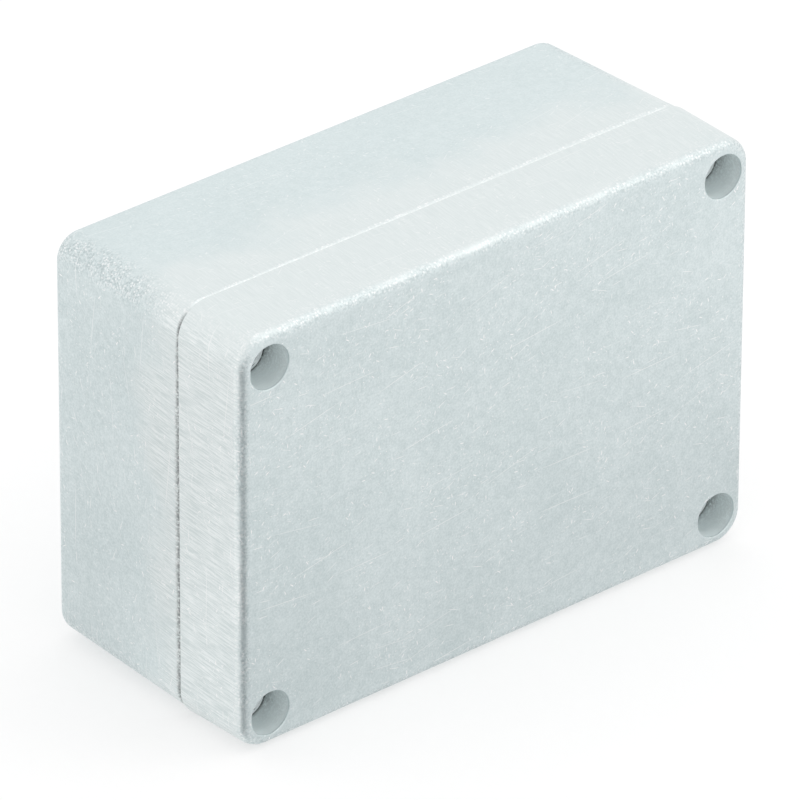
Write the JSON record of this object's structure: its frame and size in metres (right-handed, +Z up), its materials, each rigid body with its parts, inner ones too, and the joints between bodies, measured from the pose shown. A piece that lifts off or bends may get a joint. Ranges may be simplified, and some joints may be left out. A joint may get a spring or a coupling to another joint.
{
  "type": "die cast aluminium box",
  "caption": "Rectangular die-cast aluminium box: deep base, shallower sealed cover clamped by captive screws sunk in its corners, hidden wall fixing holes.",
  "frame": {"origin": "on the surface that the box stands on, under the middle of its outer box", "axes": "+X along the box's length to the right of the cover, -Y out of the cover, +Z up"},
  "size_m": [0.125, 0.0556, 0.088],
  "materials": {
    "base_casting": "bare die cast, tumbled",
    "cover_casting": "bare die cast, tumbled, rim linished",
    "seal_rubber": "moulded, matt",
    "stainless_steel": "turned, bright",
    "ring_fibre": "pressed fibre, matt",
    "plated_brass": "turned, satin"
  },
  "bodies": {
    "root": {"base": "base_casting", "cover": "cover_casting", "gasket": "seal_rubber", "cover_screw_upper_left": "stainless_steel", "cover_screw_upper_right": "stainless_steel", "cover_screw_lower_left": "stainless_steel", "cover_screw_lower_right": "stainless_steel", "retaining_ring_upper_left": "ring_fibre", "retaining_ring_upper_right": "ring_fibre", "retaining_ring_lower_left": "ring_fibre", "retaining_ring_lower_right": "ring_fibre", "earth_screw": "plated_brass", "earth_lock_washer": "stainless_steel", "earth_washer": "plated_brass"}
  },
  "joints": []
}
